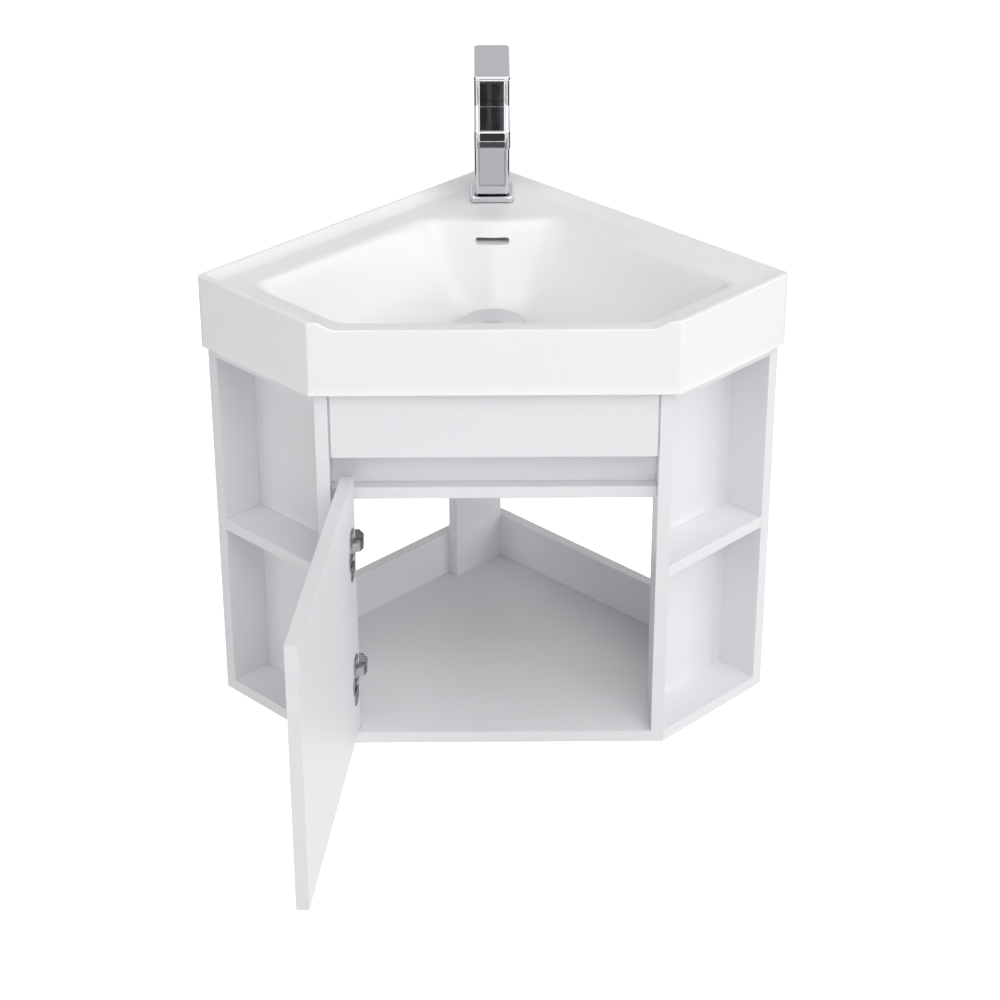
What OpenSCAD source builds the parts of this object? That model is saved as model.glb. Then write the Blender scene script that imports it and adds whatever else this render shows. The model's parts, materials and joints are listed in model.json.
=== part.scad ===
// Corner vanity unit: a wall-hung five-sided cabinet with a basin and a mixer tap.
// The two room walls meet on the Z axis and run back to (-1, -1) and (1, -1); the
// front faces -Y; Z = 0 is the underside of the cabinet. Millimetres.
// A plan point is often given as (u, v): u is its distance from the left wall and
// v its distance from the right wall.

/* [Basin] */
// Length of the basin along each wall
basin_len = 420; // [400:1:460]
// Width of the two short basin faces that stand square to the walls
basin_wing = 164; // [150:1:175]
// How far the basin stands out past the cabinet faces
basin_overhang = 10; // [6:1:14]
// Height of the basin's deck above the cabinet
deck_height = 70; // [64:1:90]
// Height of the raised lip above the deck
lip_height = 8; // [4:0.5:12]
// Width of the raised lip
lip_width = 6; // [4:0.5:9]
// Thickness of the basin's deck
deck_thick = 12; // [9:0.5:16]
// Width of the foot of the basin's skirt
skirt_width = 24; // [18:1:30]
// Corner radius of the basin's outline
basin_corner_r = 5; // [2:0.5:9]
// Distance from a wall to the bowl's edge
bowl_wall_margin = 45; // [36:1:52]
// Distance from a wing face to the bowl's edge
bowl_wing_margin = 38; // [28:1:46]
// Distance from the front face to the bowl's edge
bowl_front_margin = 22; // [18:1:34]
// Distance from the room's corner to the bowl's back edge
bowl_back = 134; // [128:1:142]
// Corner radius of the bowl's edge
bowl_corner_r = 14; // [10:1:20]
// Depth of the bowl under the deck
bowl_depth = 90; // [80:1:100]
// Thickness of the bowl's wall
bowl_wall = 10; // [8:0.5:13]
// Distance from the room's corner to the waste
waste_back = 230; // [222:1:245]
// Depth of the overflow slot's centre under the deck
overflow_drop = 21; // [18:1:28]
// Length of the overflow slot
overflow_len = 36; // [24:1:44]
// Height of the overflow slot
overflow_high = 7; // [5:0.5:9]

/* [Cabinet] */
// Height of the cabinet
cabinet_height = 412; // [380:1:480]
// Thickness of the cabinet's boards
board = 13; // [11:0.5:16]
// Depth of the open niches in the wing faces
niche_depth = 48; // [40:1:56]
// Height of the niche shelf's top above the underside
shelf_level = 212; // [160:1:260]
// Height of the two low rails that lie along the walls
low_rail_height = 53; // [35:1:70]
// Height of the two top rails that lie along the walls
top_rail_height = 70; // [55:1:85]
// Width of the post that stands in the room's corner
post_width = 71; // [50:1:85]
// Radius of the holes for the wall bolts
wall_bolt_r = 3.5; // [2.5:0.25:4.5]
// Distance from the room's corner to the nearer wall bolt
wall_bolt_near = 125; // [110:1:140]
// Distance from the farther wall bolt to the end of its rail
wall_bolt_end = 39; // [30:1:60]
// Drop of the wall bolts under the cabinet's top
wall_bolt_drop = 32; // [25:1:40]

/* [Front] */
// Gap round the door and beside the false front
front_gap = 2; // [1.5:0.25:3]
// Height of the false front
false_front_height = 74; // [60:1:84]
// Open height of the finger channel between the false front and the door
channel_height = 29; // [22:1:36]
// How far the door stands up past the grip rail
grip_lap = 15; // [8:1:18]
// Gap between the grip rail and the swing of the door's edge
grip_gap = 1.6; // [1:0.1:5]
// Depth of the finger ledge in front of the channel's back board
grip_ledge = 13; // [8:1:18]
// Depth of the grip rail
grip_rail_depth = 48; // [44:1:56]
// Distance from the false front's top and bottom edges to the blocks behind it
block_margin = 4; // [1:0.5:20]
// Width of the blocks behind the false front
block_width = 25; // [15:1:40]
// Inset of the blocks from the side panels
block_inset = 0; // [0:1:20]

/* [Hinges] */
// Angle that the door stands open at rest
door_angle = 96.5; // [60:0.5:100]
// Height of the lower hinge above the door's bottom edge
hinge_low_rise = 68.5; // [50:0.5:90]
// Drop of the upper hinge under the door's top edge
hinge_high_drop = 77; // [60:0.5:100]
// Distance from the door's edge to the turning axis
axis_inset = 11; // [10:0.25:12]
// Radius of the hinge cup
cup_r = 17.5; // [16.5:0.25:18]
// Distance from the door's edge to the cup's centre
cup_inset = 22.5; // [21.5:0.25:24]
// Board left under the hinge cup
cup_floor = 1.4; // [1.2:0.1:1.9]
// Height of the cup's flange
flange_height = 57; // [55:1:65]
// Width of the cup's flange
flange_width = 22; // [18:1:26]
// Thickness of the cup's sheet metal
cup_sheet = 0.8; // [0.6:0.1:0.9]
// Spacing of the two screws of a cup
cup_screw_gap = 45; // [45:0.5:48]
// Height of the hinge arm
arm_height = 12; // [10:0.5:15]
// Thickness of the hinge arm's sheet metal
arm_sheet = 2.5; // [1.5:0.25:3]
// Radius of the hinge pin
hinge_pin_r = 1.1; // [0.9:0.1:1.2]
// Distance from the front to the screws of the mounting plate
plate_back = 37; // [35:0.5:39]
// Spacing of the two screws of a mounting plate
plate_screw_gap = 32; // [28:1:36]

/* [Waste] */
// Outer radius of the waste's threaded body
waste_r = 20.9; // [18:0.1:21.5]
// Wall of the waste's body
waste_wall = 3.4; // [2.5:0.1:4]
// Radius of the waste's flange
waste_flange_r = 31.5; // [29:0.5:33]
// Thickness of the waste's flange
waste_flange_thick = 2.5; // [2:0.25:3.5]
// Length of the waste under the basin's boss
waste_tail = 62; // [56:1:80]
// Height of the basin's boss round the waste
boss_height = 16; // [14:1:24]
// Height of the back nut
waste_nut_high = 10; // [7:0.5:12]
// Radius of the plug's cap
plug_r = 33; // [31:0.5:34]
// Height of the plug's domed cap
plug_high = 7; // [5:0.5:9]
// Travel of the plug from open to shut
plug_travel = 6.5; // [5:0.5:9]
// Radius of the plug's stem
plug_stem_r = 4; // [3:0.25:5]

/* [Tap] */
// Distance from the room's corner to the tap's centre
tap_back = 70; // [68:0.5:74]
// Width of the tap's square body
tap_width = 37.5; // [34:0.5:40]
// Corner radius of the tap's body
tap_corner_r = 6; // [2:0.5:7]
// Width of the tap's square foot
tap_foot_width = 46; // [42:0.5:48]
// Height of the tap's foot
tap_foot_high = 7; // [6:0.5:14]
// Height of the tap's body above the deck
tap_body_high = 137; // [125:1:150]
// Height of the spout's underside above the deck
spout_level = 87; // [70:1:95]
// Height of the spout
spout_high = 20; // [16:0.5:24]
// Reach of the spout from the tap's centre to its end
spout_reach = 93; // [80:1:110]
// Radius of the aerator
aerator_r = 11; // [9:0.5:12]
// Height of the tap's turning head
head_high = 18; // [15:0.5:22]
// Thickness of the lever plate
lever_thick = 5; // [4:0.5:7]
// Length of the lever plate
lever_len = 101; // [80:1:110]
// How far the lever plate stands out behind the tap's body
lever_over = 4; // [-1:0.5:5]
// Largest lift of the lever
lever_lift = 20; // [10:1:22]
// Radius of the lever's cross pin
lever_pin_r = 2; // [1.5:0.25:2.5]
// Radius of the cartridge
cartridge_r = 13.5; // [12:0.5:14]
// Radius of the tap's fixing stud
stud_r = 4; // [3:0.5:5]
// Radius of the hole in the deck for the tap
tap_hole_r = 17.5; // [16:0.5:18.5]
// Radius of the two threaded water inlets
inlet_r = 4.2; // [3.5:0.1:4.5]
// Depth of the thread in the water inlets
inlet_thread = 14; // [10:1:20]

/* [Small fittings] */
// Radius of the shelf pins
shelf_pin_r = 2.5; // [2:0.25:3]
// Length of the shelf pins
shelf_pin_len = 16; // [12:1:18]
// Radius of the shank of the floor screws
floor_screw_r = 2.5; // [2:0.25:3]
// Distance from a shelf's corner to its nearest pin
shelf_pin_margin = 12; // [8:0.5:16]
// Length of the floor screws
floor_screw_len = 42; // [35:1:50]
// Distance from a board's end to its nearest floor screw
floor_screw_margin = 14; // [11:0.5:18]
// Radius of the small hinge screws
small_screw_r = 1.75; // [1.25:0.25:2]
// Length of the small hinge screws in the board
small_screw_len = 9.5; // [8:0.5:11]
// Running clearance between a pin and its hole
run_gap = 0.06; // [0.03:0.01:0.09]
// Gap between parts that move past each other
move_gap = 0.4; // [0.3:0.05:0.6]

/* [Hidden] */
$fn = 64;
tiny = 0.01;
root2 = sqrt(2);

// Cabinet plan
cabinet_len = basin_len - basin_overhang;
basin_front = (basin_len + basin_wing) / root2;
cabinet_front = basin_front - basin_overhang;
cabinet_wing = cabinet_front * root2 - cabinet_len;
front_half = cabinet_len * root2 - cabinet_front;
opening_half = front_half - board;
niche_face = cabinet_len - niche_depth;
niche_rear = niche_face - board;
carcass_high = cabinet_height - board;
wall_bolt_places = [wall_bolt_near, niche_rear - wall_bolt_end];

// Front
false_front_low = cabinet_height - false_front_height;
door_top = false_front_low - channel_height;
door_bottom = board + front_gap;
grip_top = door_top - grip_lap;
door_half = opening_half - front_gap;
knuckle_r = hinge_pin_r + 0.8;
axis_depth = cup_floor + cup_sheet + knuckle_r + move_gap;
swing_r = norm([axis_inset, board - axis_depth]);
axis_x = axis_inset - door_half;
axis_y = axis_depth - cabinet_front;
grip_front = cabinet_front - axis_depth - swing_r - grip_gap;
grip_back_front = grip_front - grip_ledge;
cup_x = cup_inset - door_half;
door_inner = board - cabinet_front;
cup_deep = board - cup_floor;
hinge_levels = [door_bottom + hinge_low_rise, door_top - hinge_high_drop];
flange_sheet = 1.2;
arm_reach = board - axis_depth + flange_sheet + 6.8;
arm_clear = swing_r + 1.1;
plate_sheet = 2;
plate_rise = 6.5;
arm_rail = 6;
arm_cheek = 1.2;
arm_body = 18;
flange_corner = 7;
plate_y = plate_back - cabinet_front;
plate_half = 13;
small_head_r = 3.2;
small_head = 1;
screw_head_top = 4;

// Basin levels
deck_top = cabinet_height + deck_height;
deck_low = deck_top - deck_thick;
lip_top = deck_top + lip_height;
bowl_floor = deck_top - bowl_depth;
bowl_front = basin_front - bowl_front_margin;
bowl_wing = basin_len - bowl_wing_margin;
waste_hole_r = waste_r + 0.8;
boss_r = waste_flange_r + 3;
boss_low = bowl_floor - bowl_wall - boss_height;
seal_thick = 3.5;
nut_low = boss_low - seal_thick - waste_nut_high;
groove = 2;
flange_low = bowl_floor + 1;
flange_top = flange_low + waste_flange_thick;
waste_low = boss_low - waste_tail;
plug_low = flange_top + move_gap + plug_travel;
guide_top = boss_low - 2;
guide_high = 14;
duct_wall = 6;
duct_half = overflow_len / 2 + duct_wall;
duct_deep = 12;
duct_high = 8;
duct_low = bowl_floor - bowl_wall - 10;
slot_level = deck_top - overflow_drop;

// Tap levels
tap_base = deck_top + 1;
foot_top = deck_top + tap_foot_high;
body_top = deck_top + tap_body_high;
spout_low = deck_top + spout_level;
head_low = body_top + move_gap;
head_top = head_low + head_high;
lever_low = head_top + move_gap;
lever_back = tap_width / 2 + lever_over;
lever_pivot_y = tap_width / 2 - 9 - tap_back;
lever_pivot_z = head_top - 6;
tongue_half = 5;
tongue_r = lever_pin_r + 3;
cartridge_high = 32;
stud_y = -tap_back - 8;
stud_grip = 15;
stud_low = deck_low - 26;
clamp_high = 4;
inlet_y = -tap_back + 5;
inlet_places = [-7, 7];
inlet_step = 0.3;
spindle_r = 4;
waterway_rise = 6;
waterway_half = 8;
aerator_y = aerator_r + 5 - tap_back - spout_reach;

// Turns distances from the two walls into a plan point
function plan(u, v) = [(u - v) / root2, -(u + v) / root2];

// Five-sided outline with its wall sides length a, its wings width w, moved in by d
function five(a, w, d) = let (f = (a + w) / root2 - d, e = a - d)
    [plan(d, d), plan(d, e), [f - e * root2, -f], [e * root2 - f, -f], plan(e, d)];

// Six-sided outline of the bowl's edge, moved in by d
function bowl_edge(d) = let (
        m = bowl_wall_margin + d, e = bowl_wing - d, f = bowl_front - d, b = bowl_back + d)
    [[m * root2 - b, -b], plan(m, e), [f - e * root2, -f], [e * root2 - f, -f], plan(e, m),
     [b - m * root2, -b]];

// Arc points that round the corner at b, which lies between a and c, with radius r
function corner(a, b, c, r) = let (
        p = (a - b) / norm(a - b), q = (c - b) / norm(c - b),
        half = acos(p * q) / 2, mid = (p + q) / norm(p + q), o = b + mid * r / sin(half),
        s = b + p * r / tan(half) - o, t = b + q * r / tan(half) - o,
        from = atan2(s[1], s[0]), turn = atan2(t[1], t[0]) - from,
        sweep = turn > 180 ? turn - 360 : turn < -180 ? turn + 360 : turn)
    [for (i = [0:6]) o + r * [cos(from + sweep * i / 6), sin(from + sweep * i / 6)]];

// Outline with every corner rounded
function rounded(pts, r) = let (n = len(pts))
    [for (i = [0:n - 1]) each corner(pts[(i + n - 1) % n], pts[i], pts[(i + 1) % n], r)];

// Square outline with rounded corners about the origin
function square_outline(w, r) = rounded([[-w, -w] / 2, [w, -w] / 2, [w, w] / 2, [-w, w] / 2], r);

// Prism over an outline from level low to level high
module prism(pts, low, high) {
    translate([0, 0, low]) linear_extrude(high - low) polygon(pts);
}

// Upright block given by its corners in x, y and z
module block(x, y, z) {
    translate([x[0], y[0], z[0]]) cube([x[1] - x[0], y[1] - y[0], z[1] - z[0]]);
}

// Block given by its distances u from the left wall and v from the right wall
module wall_block(u, v, z) {
    rotate([0, 0, 225]) block(v, u, z);
}

// Rod along the left wall's normal, from distance u[0] to u[1], at v and z
module left_rod(u, v, z, r) {
    rotate([0, 0, 225]) translate([v, u[0], z]) rotate([-90, 0, 0]) cylinder(r = r, h = u[1] - u[0]);
}

// Upright cylinder between two levels
module rod(x, y, low, high, r) {
    translate([x, y, low]) cylinder(r = r, h = high - low);
}

// Cylinder along X between two places
module cross_rod(x, y, z, r) {
    translate([x[0], y, z]) rotate([0, 90, 0]) cylinder(r = r, h = x[1] - x[0]);
}

// Cylinder along Y between two places
module deep_rod(x, y, z, r) {
    translate([x, y[0], z]) rotate([-90, 0, 0]) cylinder(r = r, h = y[1] - y[0]);
}

// Puts pieces of the shut door where they stand at rest
module door_pose() {
    translate([axis_x, axis_y, 0]) rotate([0, 0, -door_angle]) translate([-axis_x, -axis_y, 0]) children();
}

// Plan places of the floor screws on the left half; the last one holds the corner post
screw_places = [
    plan(board / 2, niche_rear + floor_screw_margin), plan(board / 2, cabinet_len - floor_screw_margin),
    [board / 2 - front_half, floor_screw_margin - cabinet_front],
    [board / 2 - front_half, 3 * floor_screw_margin - cabinet_front],
    plan(board + 2 * floor_screw_margin, niche_rear + board / 2),
    plan(board * 1.5, board + post_width / 2)
];

// Puts pieces at every floor screw, on both halves
module at_floor_screws() {
    for (side = [0, 1]) mirror([side, 0, 0])
        for (i = [0:len(screw_places) - 1 - side]) translate([screw_places[i][0], screw_places[i][1], 0])
            children();
}

// Places of the shelf pins, on the left half
module left_shelf_pins(extra) {
    level = shelf_level - board - shelf_pin_r - run_gap;
    hole = shelf_pin_len / 2 + extra;
    for (v = [niche_face + shelf_pin_margin, cabinet_len - shelf_pin_margin])
        left_rod([board - hole, board + shelf_pin_len / 2], v, level, shelf_pin_r + extra);
    for (y = [shelf_pin_margin - cabinet_front, front_half - niche_face * root2 - 1.5 * shelf_pin_margin])
        cross_rod([-front_half - shelf_pin_len / 2, -front_half + hole], y, level, shelf_pin_r + extra);
}

// Bores for the floor screws in the uprights
module floor_screw_bores() at_floor_screws() rod(0, 0, 0, floor_screw_len + 1, floor_screw_r + run_gap);

// Floor of the cabinet, which every upright stands on
module floor_panel() color("whitesmoke") difference() {
    prism(five(cabinet_len, cabinet_wing, 0), 0, board);
    at_floor_screws() {
        rod(0, 0, -1, board + 1, floor_screw_r + run_gap);
        rod(0, 0, -1, screw_head_top, floor_screw_r * 2 + move_gap);
    }
}

// Upright beside the door, square to the front
module left_side_panel() color("whitesmoke") difference() {
    prism([[-front_half, -cabinet_front], [-opening_half, -cabinet_front],
           [-opening_half, opening_half - niche_face * root2],
           [-front_half, front_half - niche_face * root2]], board, cabinet_height);
    left_shelf_pins(run_gap);
    floor_screw_bores();
    plate_screw_set(small_screw_r + run_gap);
}

module right_side_panel() color("whitesmoke") difference() {
    prism([[front_half, -cabinet_front], [opening_half, -cabinet_front],
           [opening_half, opening_half - niche_face * root2],
           [front_half, front_half - niche_face * root2]], board, cabinet_height);
    mirror([1, 0, 0]) left_shelf_pins(run_gap);
    floor_screw_bores();
}

// Back of a niche, parallel to the wing face
module left_niche_back() color("gainsboro") difference() {
    prism([plan(board, niche_rear), plan(board, niche_face),
           [-opening_half, opening_half - niche_face * root2],
           [-opening_half, opening_half - niche_rear * root2]], board, cabinet_height);
    floor_screw_bores();
}

module right_niche_back() mirror([1, 0, 0]) left_niche_back();

// End panel that lies along the wall
module left_end_panel() color("whitesmoke") difference() {
    wall_block([0, board], [niche_rear, cabinet_len], [board, cabinet_height]);
    left_shelf_pins(run_gap);
    floor_screw_bores();
}

module right_end_panel() mirror([1, 0, 0]) left_end_panel();

// Four-sided board that fills a niche from its back to the wing face
module niche_board(low) {
    prism([plan(board, niche_face), plan(board, cabinet_len), [-front_half, -cabinet_front],
           [-front_half, front_half - niche_face * root2]], low, low + board);
}

module left_niche_top() color("whitesmoke") niche_board(carcass_high);

module right_niche_top() color("whitesmoke") mirror([1, 0, 0]) niche_board(carcass_high);

module left_shelf() color("whitesmoke") niche_board(shelf_level - board);

module right_shelf() color("whitesmoke") mirror([1, 0, 0]) niche_board(shelf_level - board);

module shelf_pins() color("silver") for (side = [0, 1]) mirror([side, 0, 0]) left_shelf_pins(0);

// Post in the room's corner that ties the low rails to the top rails
module corner_post() color("lightgray") difference() {
    wall_block([board, 2 * board], [board, board + post_width], [board, cabinet_height]);
    floor_screw_bores();
}

// Rails along the left wall run into the corner; those along the right wall butt them
module left_low_rail() color("gainsboro")
    wall_block([0, board], [0, niche_rear], [board, board + low_rail_height]);

module right_low_rail() color("gainsboro")
    wall_block([board, niche_rear], [0, board], [board, board + low_rail_height]);

module left_top_rail() color("gainsboro") difference() {
    wall_block([0, board], [0, niche_rear], [cabinet_height - top_rail_height, cabinet_height]);
    for (v = wall_bolt_places)
        left_rod([-1, board + 1], v, cabinet_height - wall_bolt_drop, wall_bolt_r);
}

module right_top_rail() color("gainsboro") difference() {
    wall_block([board, niche_rear], [0, board], [cabinet_height - top_rail_height, cabinet_height]);
    mirror([1, 0, 0]) for (v = wall_bolt_places)
        left_rod([-1, board + 1], v, cabinet_height - wall_bolt_drop, wall_bolt_r);
}

// Fixed front that hides the bowl
module false_front() color("whitesmoke")
    block([-door_half, door_half], [-cabinet_front, door_inner], [false_front_low, cabinet_height]);

// Blocks that hold the false front off the channel's back board
module false_front_blocks() color("whitesmoke") for (side = [0, 1]) mirror([side, 0, 0])
    block([block_inset - opening_half, block_inset + block_width - opening_half],
          [door_inner, -grip_back_front],
          [false_front_low + block_margin, cabinet_height - block_margin]);

// Flat rail under the finger channel
module grip_rail() color("gainsboro")
    block([-opening_half, opening_half], [-grip_front, grip_rail_depth - grip_front],
          [grip_top - board, grip_top]);

// Upright board at the back of the finger channel
module grip_back() color("gainsboro")
    block([-opening_half, opening_half], [-grip_back_front, board - grip_back_front],
          [grip_top, cabinet_height]);

module floor_screws() color("silver") at_floor_screws() {
    rod(0, 0, screw_head_top - 3, floor_screw_len, floor_screw_r);
    rod(0, 0, screw_head_top - 3, screw_head_top, floor_screw_r * 2);
}

// Shanks of the screws that hold the cups in the door
module cup_screw_set(r) {
    for (z = hinge_levels, s = [-0.5, 0.5])
        deep_rod(cup_x, [door_inner - small_screw_len, door_inner + flange_sheet], z + s * cup_screw_gap, r);
}

module door_panel() color("whitesmoke") door_pose() difference() {
    block([-door_half, door_half], [-cabinet_front, door_inner], [door_bottom, door_top]);
    for (z = hinge_levels) deep_rod(cup_x, [door_inner - cup_deep, door_inner + 1], z, cup_r + run_gap);
    cup_screw_set(small_screw_r + run_gap);
}

// Flange of a cup, with rounded corners
module hinge_flange(z) {
    deep = [door_inner, door_inner + flange_sheet];
    half = [flange_width / 2, flange_height / 2];
    block([cup_x - half[0], cup_x + half[0]], deep,
          [z - half[1] + flange_corner, z + half[1] - flange_corner]);
    block([cup_x - half[0] + flange_corner, cup_x + half[0] - flange_corner], deep,
          [z - half[1], z + half[1]]);
    for (sx = [-1, 1], sz = [-1, 1])
        deep_rod(cup_x + sx * (half[0] - flange_corner), deep,
                 z + sz * (half[1] - flange_corner), flange_corner);
}

// Cup with its flange and the two cheeks that carry the pin
module hinge_cups() color("silver") door_pose() for (z = hinge_levels) {
    difference() {
        union() {
            deep_rod(cup_x, [door_inner - cup_deep + run_gap, door_inner], z, cup_r);
            hinge_flange(z);
        }
        deep_rod(cup_x, [door_inner - cup_deep + cup_sheet, door_inner + 2], z, cup_r - cup_sheet);
        cup_screw_set(small_screw_r + run_gap);
    }
    difference() {
        intersection() {
            deep_rod(cup_x, [door_inner - cup_deep + cup_sheet, door_inner], z, cup_r - cup_sheet / 2);
            block([cup_x - cup_r, axis_x + 2.5], [door_inner - cup_deep, door_inner], [z - cup_r, z + cup_r]);
        }
        block([cup_x - cup_r, axis_x + 3], [-cabinet_front, door_inner + 1],
              [z - arm_height / 2 - move_gap, z + arm_height / 2 + move_gap]);
        rod(axis_x, axis_y, z - cup_r, z + cup_r, hinge_pin_r + run_gap);
    }
}

module cup_screws() color("gray") door_pose() {
    cup_screw_set(small_screw_r);
    for (z = hinge_levels, s = [-0.5, 0.5])
        deep_rod(cup_x, [door_inner + flange_sheet, door_inner + flange_sheet + small_head],
                 z + s * cup_screw_gap, small_head_r);
}

module hinge_pins() color("gray") door_pose() for (z = hinge_levels)
    rod(axis_x, axis_y, z - arm_height / 2 - 2.5, z + arm_height / 2 + 2.5, hinge_pin_r);

// Arm from the pin, round the door's edge, to a channel body on the mounting plate
module hinge_arms() color("silver") for (z = hinge_levels) difference() {
    high = [z - arm_height / 2, z + arm_height / 2];
    union() {
        rod(axis_x, axis_y, high[0], high[1], knuckle_r);
        block([axis_x, axis_x + arm_reach + arm_sheet],
              [axis_y - arm_sheet / 2, axis_y + arm_sheet / 2], high);
        block([axis_x + arm_reach, axis_x + arm_reach + arm_sheet],
              [axis_y - arm_sheet / 2, axis_y + arm_clear + arm_body], high);
        for (low = [high[0], high[1] - arm_cheek])
            block([-opening_half + plate_rise, axis_x + arm_reach + arm_sheet],
                  [axis_y + arm_clear, axis_y + arm_clear + arm_body], [low, low + arm_cheek]);
        block([-opening_half + plate_rise, -opening_half + plate_rise + arm_rail],
              [axis_y + arm_clear, plate_y + plate_half], high);
    }
    rod(axis_x, axis_y, high[0] - 1, high[1] + 1, hinge_pin_r + run_gap);
}

// Shanks of the screws that hold the mounting plates
module plate_screw_set(r) {
    for (z = hinge_levels, s = [-0.5, 0.5])
        cross_rod([-opening_half - small_screw_len, -opening_half + plate_sheet], plate_y,
                  z + s * plate_screw_gap, r);
}

module hinge_plates() color("silver") difference() {
    for (z = hinge_levels) {
        block([-opening_half, -opening_half + plate_sheet], [plate_y - 8, plate_y + 8],
              [z - plate_screw_gap / 2 - 7, z + plate_screw_gap / 2 + 7]);
        block([-opening_half, -opening_half + plate_rise],
              [axis_y + arm_clear, plate_y + plate_half], [z - 6, z + 6]);
    }
    plate_screw_set(small_screw_r + run_gap);
}

module plate_screws() color("gray") {
    plate_screw_set(small_screw_r);
    for (z = hinge_levels, s = [-0.5, 0.5])
        cross_rod([-opening_half + plate_sheet, -opening_half + plate_sheet + small_head], plate_y,
                  z + s * plate_screw_gap, small_head_r);
}

// One level of the bowl: thin discs at the corners of its outline
module bowl_level(inset, z, r) {
    for (p = bowl_edge(inset + r)) translate([p[0], p[1], z]) cylinder(r = r, h = 0.5, $fn = 24);
}

// Solid in the shape of the bowl, grown by the wall
module bowl_form(grow, lift) {
    hull() {
        bowl_level(-grow, deck_top + lift, bowl_corner_r);
        bowl_level(14 - grow, deck_top - bowl_depth * 0.36, 22);
        bowl_level(40 - grow, deck_top - bowl_depth * 0.72, 34);
        translate([0, -waste_back, bowl_floor - grow]) cylinder(r = boss_r + grow, h = 0.5, $fn = 48);
    }
}

// Rounded slot through the bowl's back wall
module overflow_slot() {
    straight = (overflow_len - overflow_high) / 2;
    for (x = [-straight, straight])
        deep_rod(x, [-waste_back, duct_deep / 2 - bowl_back], slot_level, overflow_high / 2);
    block([-straight, straight], [-waste_back, duct_deep / 2 - bowl_back],
          [slot_level - overflow_high / 2, slot_level + overflow_high / 2]);
}

// Basin: skirt, deck with its lip, bowl, overflow duct and the boss of the waste
module basin() color("white") difference() {
    union() {
        difference() {
            prism(rounded(five(basin_len, basin_wing, 0), basin_corner_r), cabinet_height, lip_top);
            prism(five(basin_len, basin_wing, skirt_width), cabinet_height - 1, deck_low);
            wall_block([lip_width, basin_len - lip_width], [lip_width, basin_len - lip_width],
                       [deck_top, lip_top + 1]);
        }
        intersection() {
            bowl_form(bowl_wall, -deck_thick + 1);
            block([-basin_len, basin_len], [-basin_front + skirt_width / 2, 0], [0, deck_low + 1]);
        }
        rod(0, -waste_back, boss_low, bowl_floor, boss_r);
        block([-duct_half, duct_half], [-bowl_back - 30, duct_deep + duct_wall - bowl_back],
              [duct_low, deck_low + 1]);
        block([-duct_half, duct_half], [-waste_back, duct_deep + duct_wall - bowl_back],
              [duct_low, duct_low + 2 * duct_wall + duct_high]);
    }
    bowl_form(0, 1);
    overflow_slot();
    block([-overflow_len / 2, overflow_len / 2], [-bowl_back, duct_deep - bowl_back],
          [duct_low + duct_wall, slot_level + overflow_high]);
    block([-overflow_len / 2, overflow_len / 2], [-waste_back, duct_deep - bowl_back],
          [duct_low + duct_wall, duct_low + duct_wall + duct_high]);
    rod(0, -waste_back, boss_low - 1, bowl_floor + 2, waste_hole_r);
    rod(0, -tap_back, deck_low - 1, deck_top + 1, tap_hole_r);
}

// Flanged tube of the waste, with windows where the overflow enters
module waste_body() color("silver") difference() {
    union() {
        rod(0, -waste_back, flange_low, flange_top, waste_flange_r);
        rod(0, -waste_back, waste_low, flange_top, waste_r);
    }
    rod(0, -waste_back, guide_top - guide_high, flange_top + 1, waste_r - waste_wall);
    rod(0, -waste_back, waste_low - 1, flange_top, waste_r - waste_wall - 1.5);
    block([-8, 8], [-waste_back - waste_r - 1, -waste_back + waste_r + 1],
          [duct_low + duct_wall, duct_low + duct_wall + duct_high]);
    ring(nut_low - 2 * groove, nut_low - groove, waste_r + 1, waste_r - 1);
}

// Flat ring about the waste's axis between two levels
module ring(low, high, outer, inner) {
    difference() {
        rod(0, -waste_back, low, high, outer);
        rod(0, -waste_back, low - 1, high + 1, inner);
    }
}

module waste_top_seal() color("dimgray") ring(bowl_floor, flange_low, waste_flange_r - 1, waste_hole_r);

module waste_low_seal() color("dimgray") ring(boss_low - seal_thick, boss_low, waste_r + 9, waste_r + run_gap);

module waste_nut() color("silver") difference() {
    translate([0, -waste_back, nut_low]) cylinder(r = waste_r + 9, h = waste_nut_high, $fn = 6);
    rod(0, -waste_back, nut_low - 1, boss_low, waste_r + run_gap);
}

// Spider inside the waste that guides the plug's stem
module waste_guide() color("white") difference() {
    rod(0, -waste_back, guide_top - guide_high, guide_top, waste_r - waste_wall - run_gap);
    rod(0, -waste_back, guide_top - guide_high - 1, guide_top + 1, plug_stem_r + run_gap);
    for (a = [45:90:315]) translate([0, -waste_back, 0]) rotate([0, 0, a])
        rod((waste_r - waste_wall + plug_stem_r) / 2, 0, guide_top - guide_high - 1, guide_top + 1, 3.8);
}

// Domed cap of the press-to-shut plug, with its stem, shown open
module waste_plug() color("gainsboro") {
    dome = (plug_r * plug_r + (plug_high - 2.5) * (plug_high - 2.5)) / (2 * (plug_high - 2.5));
    translate([0, -waste_back, 0]) rotate_extrude($fn = 96) intersection() {
        translate([0, plug_low]) square([plug_r, plug_high]);
        translate([0, plug_low + plug_high - dome]) circle(dome, $fn = 360);
    }
    rod(0, -waste_back, guide_top - guide_high - 6, plug_low + tiny, plug_stem_r);
}

// Square foot of the tap, open in the middle for the stud and the inlet hoses
module tap_foot() color("silver") difference() {
    translate([0, -tap_back, 0]) prism(square_outline(tap_foot_width, tap_corner_r), tap_base, foot_top);
    rod(0, -tap_back, tap_base - 1, foot_top + 1, tap_hole_r - 1);
}

module tap_gasket() color("dimgray") difference() {
    translate([0, -tap_back, 0]) prism(square_outline(tap_foot_width - 3, tap_corner_r), deck_top, tap_base);
    rod(0, -tap_back, deck_top - 1, tap_base + 1, tap_hole_r);
}

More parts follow.
